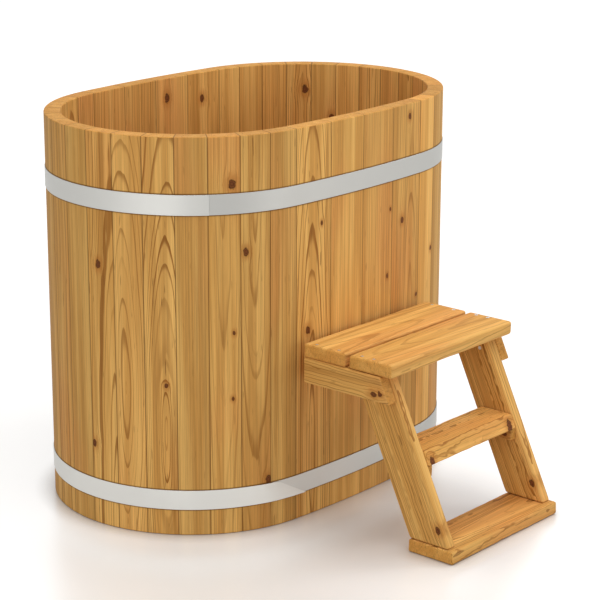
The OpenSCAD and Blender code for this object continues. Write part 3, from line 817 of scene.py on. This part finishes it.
# Each screw is its head's middle, its turn from pointing down, and its length
def screwPlaces():
    def span(node):
        low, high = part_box(node)
        return low, high, (low + high) / 2

    spots = []
    lean = math.tan(steps["lean"])
    bite, shortBite, gaps = screws["bite"], screws["shortBite"], screws["gaps"]
    down, up = (0, 0, 0), (math.pi, 0, 0)
    floorRows = [span("floor_board_%d" % i)[2].y for i in range(1, 6)]
    base = span("base_board")[1]
    for side, turn in (("left", -1), ("right", 1)):
        cleatLow, cleatHigh, cleat = span("platform_cleat_" + side)
        legLow, legHigh, leg = span("leg_" + side)
        blockLow, blockHigh, block = span("tread_block_" + side)
        battenLow, battenHigh, batten = span("floor_batten_" + side)
        outwards = (0, -turn * quarter, 0)
        run = (legHigh.y - legLow.y) - (legHigh.z - legLow.z) * lean
        legMiddle = legLow.y + run / 2
        legInner, blockInner = (legLow.x, blockLow.x) if turn > 0 else (legHigh.x, blockHigh.x)
        cleatFront = cleatLow.y + (cleatHigh.z - cleatLow.z) * lean
        for s in (-0.5, 0.5):
            for board in ("rear", "front"):
                low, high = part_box("platform_board_" + board)
                y = (high.y + max(low.y, cleatFront)) / 2 + s * gaps[board]
                spots.append(((cleat.x, y, high.z), down, high.z - low.z + bite))
            y = legMiddle + (cleat.z - legLow.z) * lean + s * gaps["leg"]
            spots.append(((legInner, y, cleat.z), outwards, legHigh.x - legLow.x + bite))
            spots.append(((leg.x, legMiddle + s * gaps["leg"], 0), up, base.z + bite))
            y = block.y + s * gaps["block"]
            spots.append(((blockInner, y, block.z), outwards, blockHigh.x - blockLow.x + shortBite))
        spots.append(((block.x, block.y, blockLow.z), up, blockHigh.z - blockLow.z + bite))
        spots += [((batten.x, y, battenLow.z), up, battenHigh.z - battenLow.z + shortBite)
                  for y in floorRows]
    railLow, railHigh, rail = span("platform_rail")
    for i in range(staves["wide"]):
        x = sideRadius * math.sin((i - (staves["wide"] - 1) / 2) * 2 * sideAngle / staves["wide"])
        spots.append(((x, railLow.y, rail.z), (quarter, 0, 0), screws["railLength"]))
    return spots


def spun(name, profile):
    turns = [2 * math.pi * i / screws["sides"] for i in range(screws["sides"])]
    rings = [[(r * math.cos(turn), r * math.sin(turn), z) for turn in turns] for r, z in profile]
    return newPiece(name, shapeToMesh(loft(rings)[0], name))


def cutWith(piece, cutter):
    cut = piece.modifiers.new("cut", "BOOLEAN")
    cut.operation = "DIFFERENCE"
    cut.solver = "EXACT"
    cut.object = cutter
    return settle(piece)


# The lower end of a form goes as deep as each screw is long
def markTip(piece):
    tips = [float(v.co.z < -0.5 * screws["formLength"]) for v in piece.data.vertices]
    markMesh(piece.data, "isTip", tips)
    return piece


# A countersunk head with a cross recess, pointing down
def screwForm():
    head, shank, soft = screws["head"] / 2, screws["shank"] / 2, screws["headRound"]
    top = -screws["sink"]
    body = spun("screw form", [(head - soft, top), (head, top - soft), (shank, top - soft - head + shank),
                               (shank, -screws["formLength"])])
    span, half, deep, narrower = screws["recess"]
    arm = span / 2
    outline = [(x * a - y * b, x * b + y * a) for a, b in ((1, 0), (0, 1), (-1, 0), (0, -1))
               for x, y in ((arm, half), (half, half), (half, arm))]
    shape = loft([[(x * narrower, y * narrower, top - deep) for x, y in outline],
                  [(x, y, top + screws["over"]) for x, y in outline]])[0]
    cross = newPiece("cross recess", shapeToMesh(shape, "cross recess"))
    cutWith(body, cross)
    bpy.data.objects.remove(cross)
    return markTip(body)


# The screws' holes are a little wider and deeper than the screws
def drillForm():
    clear, top = screws["clear"], -screws["sink"]
    head, shank = screws["head"] / 2 + clear, screws["shank"] / 2 + clear
    return markTip(spun("drill form", [
        (head, screws["over"]), (head, top - clear), (shank, top - clear - head + shank),
        (shank, -screws["formLength"] - clear)]))


def screwTree():
    add, given = newTree("Geometry", "screws at their places",
                         {**geometry, "Screw": "Object", "Steel": "Material"}, geometry)
    form = add("ObjectInfo", [given["Screw"]]).outputs["Geometry"]
    turn = add("InputNamedAttribute", ["turn"], "FLOAT_VECTOR")
    placed = add("InstanceOnPoints", {"Points": given["Geometry"], "Instance": form, "Rotation": turn})
    real = add("RealizeInstances", [placed])
    deeper = add("InputNamedAttribute", ["deeper"], "FLOAT_VECTOR")
    isTip = add("InputNamedAttribute", ["isTip"], "FLOAT")
    move = add("VectorMath", [deeper, isTip], "SCALE")
    grown = add("SetPosition", {"Geometry": real, "Offset": move})
    return endTree(add, grown, given["Steel"])


def placeScrews(name, form, tree, spots):
    mesh = newMesh(name, [spot for spot, turn, length in spots])
    deeper = [Euler(turn).to_matrix() @ Vector((0, 0, screws["formLength"] - length))
              for spot, turn, length in spots]
    markMesh(mesh, "turn", [turn for spot, turn, length in spots], "FLOAT_VECTOR")
    markMesh(mesh, "deeper", deeper, "FLOAT_VECTOR")
    return growWith(newPiece(name, mesh), tree, {"Screw": form, "Steel": screwSteel})


# Years of use take a little off the edges, more in some places than in others
def wearEdges(shape, low, high, width):
    depth, mean, spread = steps["wear"]
    coarse, fine, share = steps["wearNoise"]
    for v in shape.verts:
        if sum(min(abs(v.co[i] - low[i]), abs(v.co[i] - high[i])) < width for i in range(3)) > 1:
            wave = noise.noise(v.co * coarse) + share * noise.noise(v.co * fine)
            v.co += ((low + high) / 2 - v.co).normalized() * depth * (mean + spread * wave)
    shape.normal_update()


def stepBoard(node, facts, holes, wood):
    low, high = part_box(node)
    rise = (high.z - low.z) * math.tan(steps["lean"])
    front, back = (rise if side in facts.get("leans", "") else 0 for side in ("front", "back"))
    outline = [(low.y, low.z), (high.y - back, low.z), (high.y, high.z), (low.y + front, high.z)]
    shape = loft([[(x, y, z) for y, z in outline] for x in (low.x, high.x)])[0]
    span = max(high - low)
    longEdges = [e for e in shape.edges if e.calc_length() > 0.6 * span]
    bmesh.ops.subdivide_edges(shape, edges=longEdges, cuts=int(span / steps["cut"]), use_grid_fill=True)
    corners = [e for e in shape.edges if e.calc_face_angle(0) > math.radians(20)]
    roundEdges(shape, corners, facts["round"], 4)
    wearEdges(shape, low, high, facts["round"])
    mesh = shapeToMesh(shape, node + "_board")
    mesh.materials.append(wood)
    piece = cutWith(newPiece(node + "_board", mesh), holes)

    along = {"x": Vector((1, 0, 0)), "y": Vector((0, 1, 0)),
             "leg": Vector((0, math.sin(steps["lean"]), math.cos(steps["lean"])))}[facts["grain"]]
    isFlat = facts["grain"] == "x"
    deep = Vector((0, 0, -1)) if isFlat else Vector((1 if low.x < 0 else -1, 0, 0))
    across = deep.cross(along)
    size, middle = high - low, (low + high) / 2
    face = size.z / 2 if isFlat else size.x / 2
    mesh = piece.data
    place = []
    for v in mesh.vertices:
        at = v.co - middle
        place.append((at.dot(across), at.dot(deep) + face, at.dot(along)))
    markMesh(mesh, "boardPlace", place, "FLOAT_VECTOR")
    values = [facts["heart"], facts["look"], *facts.get("knots", ()), *noKnots]
    for name, value in zip(("boardHeart", "boardLook", *knotNames), values):
        markMesh(mesh, name, [value] * len(place), "FLOAT_VECTOR")
    for name, value in (("boardHalf", 1.0), ("boardCurl", facts.get("curl", 0.0))):
        markMesh(mesh, name, [value] * len(place))
    ends = [float(abs(face.normal.dot(along)) > 0.7) for face in mesh.polygons]
    markMesh(mesh, "boardEnd", ends, "FLOAT", "FACE")
    evenNormals(piece)
    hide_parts(node)
    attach(piece, "tub_and_steps")


def makeSteps():
    spots = screwPlaces()
    tree = screwTree()
    wood = boardLarch("oiled larch, planed boards")
    drill = drillForm()
    holes = placeScrews("screw holes", drill, tree, spots)
    for node, facts in steps["boards"].items():
        stepBoard(node, facts, holes, wood)
    form = screwForm()
    piece = placeScrews("wood_screw_set", form, tree, spots)
    evenNormals(piece, 30)
    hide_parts("wood_screws")
    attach(piece, "tub_and_steps")
    for helper in (drill, holes, form):
        bpy.data.objects.remove(helper)
    print("steps:", len(steps["boards"]), "boards and", len(spots), "screws")


makeSteps()

# Solids that keep their own mesh get the same finishes
inside = {
    "floorTones": (-0.09, 0.02, -0.04, 0.06, -0.07),
    "floorHearts": ((0.05, 0.045, 0.03), (-0.09, 0.03, 0.02), (0.01, 0.055, -0.06), (0.1, 0.035, 0.01),
                    (-0.04, 0.05, -0.03)),
    "bearerHeart": (0.04, 0.05, 0.02),
    "bearerLook": (-0.02, 0.1, 0.6),
}


def dress(node, material):
    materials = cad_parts[node].data.materials
    materials.clear()
    materials.append(material)


def dressSolids():
    alongX, alongY = (0, quarter, quarter), (quarter, 0, 0)
    for i, (tone, heart) in enumerate(zip(inside["floorTones"], inside["floorHearts"]), 1):
        node = "floor_board_%d" % i
        low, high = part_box(node)
        start = Vector(((low.x + high.x) / 2, (low.y + high.y) / 2, high.z))
        dress(node, solidLarch("oiled larch, floor %d" % i, alongX, start, heart, (tone, 0.1, 0.7),
                               (high.y - low.y) / 2))
    for node in ("floor_batten_left", "floor_batten_right", "platform_rail"):
        low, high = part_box(node)
        turn = alongX if node == "platform_rail" else alongY
        dress(node, solidLarch("oiled larch, " + node.replace("_", " "), turn, (low + high) / 2,
                               inside["bearerHeart"], inside["bearerLook"]))
    for node in ("drain_body", "drain_nut", "drain_plug"):
        dress(node, drainSteel)
    print("solids dressed")


dressSolids()

# Studio: pale floor, white surroundings, soft lamps. A pool takes from the floor's glow: its middle, the
# radii within which it is full and beyond which it ends, and how much it takes. The first lowers the glow
# round the tub, where the lamps light the floor more, so that it stays evenly white. The others are painted
# shadow under the steps and in front of the tub's left end.
studio = {
    "ambient": 0.42,
    "lamps": {
        "key, right": {"at": (3.3, -1.7, 3.2), "size": 1.7, "power": 57},
        "low fill, in front": {"at": (0.8, -4.4, 1.0), "size": 2.4, "power": 23},
        "low fill, left": {"at": (-4.4, -1.6, 1.4), "size": 2.4, "power": 47},
        "top": {"at": (-0.3, -0.5, 3.9), "size": 2.6, "power": 61},
    },
    "target": (0, 0, 0.4),
    "floor": "#cfcecb",
    "floorHalf": 40.0,
    "floorZ": -0.0005,
    "glow": 0.85,
    "pools": [((0, 0, 0), 1.6, 3.4, -0.25), ((-0.05, -0.33, 0), 0.12, 0.48, -0.43),
              ((-0.6, -0.22, 0), 0.1, 0.58, -0.22)],
    # How far the painted contact shadow looks for something close by, and the occlusion at which it is
    # darkest
    "contact": 0.06,
    "contactFrom": 0.45,
    "shine": 0.32,
    "shineRough": 0.3,
}
white = (1, 1, 1, 1)


# 1 where the camera, a reflection or clear material looks, and 0 for light on its way to the object
def lookedAt(add):
    ray = add("LightPath").outputs
    seen = add("Math", [ray["Is Camera Ray"], ray["Is Glossy Ray"]], "MAXIMUM")
    return add("Math", [seen, ray["Is Transmission Ray"]], "MAXIMUM")


def makeLamps():
    scene.world = bpy.data.worlds.new("white studio")
    add = emptyNodes(scene.world)
    strength = add("MapRange", [lookedAt(add), 0.0, 1.0, studio["ambient"], 1.0])
    sky = add("Background", [white, strength])
    add("OutputWorld", [sky])
    for name, facts in studio["lamps"].items():
        light = bpy.data.lights.new(name, "AREA")
        light.shape = "DISK"
        light.size = facts["size"]
        light.energy = facts["power"]
        lamp = newPiece(name, light)
        lamp.location = facts["at"]
        aim = Vector(studio["target"]) - Vector(facts["at"])
        lamp.rotation_euler = aim.to_track_quat("-Z", "Y").to_euler()


def makeFloor():
    half, z = studio["floorHalf"], studio["floorZ"]
    mesh = newMesh("studio_floor", [(-half, -half, z), (half, -half, z), (half, half, z), (-half, half, z)],
                   faces=[(0, 1, 2, 3)])
    floor = newPiece("studio_floor", mesh)
    material = bpy.data.materials.new("pale studio floor")
    add = emptyNodes(material)
    matte = add("BsdfDiffuse", [linearColour(studio["floor"])])
    # The floor's own glow keeps it white. It is less round the tub, where the lamps light it. Under the steps
    # and in front of the tub's left end it is less still, a painted shadow. Where something stands on it,
    # ambient occlusion dims the glow, a painted contact shadow.
    at = add("TexCoord").outputs["Object"]
    glow = studio["glow"]
    for middle, inner, outer, change in studio["pools"]:
        away = add("VectorMath", [at, middle], "DISTANCE")
        pool = add("MapRange", [away, inner, outer, change, 0.0], "SMOOTHSTEP")
        glow = add("Math", [glow, pool], "ADD")
    # Painted contact shadow: the glow fades where ambient occlusion finds the tub or the steps close by
    paintedContactShade = add("AmbientOcclusion", {"Distance": studio["contact"]}, samples=8).outputs["AO"]
    paintedContactShade = add("MapRange", [paintedContactShade, studio["contactFrom"], 1.0, 0.0, 1.0])
    glow = add("Math", [glow, paintedContactShade], "MULTIPLY")
    glow = add("Emission", [white, glow])
    bright = add("AddShader", [matte, glow])
    gloss = add("BsdfAnisotropic", [white, studio["shineRough"]])
    shown = add("MixShader", [studio["shine"], bright, gloss])
    lit = add("MixShader", [lookedAt(add), matte, shown])
    add("OutputMaterial", [lit])
    mesh.materials.append(material)


makeLamps()
makeFloor()
print("studio ready")

# The camera stands where the photograph was taken from, found from the rim, hoops, foot and steps
view = {
    "at": (-3.93236, tubY - 3.55215, 1.98542),
    "turn": 0.86109,
    "down": 0.28193,
    "roll": 0.00277,
    "lens": 124.516,
    "sensor": 36.0,
    "farthest": 200.0,
}


def makeCamera():
    lens = bpy.data.cameras.new("camera")
    camera = newPiece("camera", lens)
    lens.sensor_width = view["sensor"]
    lens.lens = view["lens"]
    lens.clip_end = view["farthest"]
    turn, down, roll = view["turn"], view["down"], view["roll"]
    forward = Vector((math.sin(turn) * math.cos(down), math.cos(turn) * math.cos(down), -math.sin(down)))
    right = Vector((math.cos(turn), -math.sin(turn), 0))
    up = right.cross(forward)
    tilted = right * math.cos(roll) + up * math.sin(roll)
    upright = up * math.cos(roll) - right * math.sin(roll)
    facing = Matrix((tilted, upright, -forward)).transposed()
    camera.matrix_world = Matrix.Translation(Vector(view["at"])) @ facing.to_4x4()
    scene.camera = camera


makeCamera()
scene.view_settings.view_transform = "Standard"
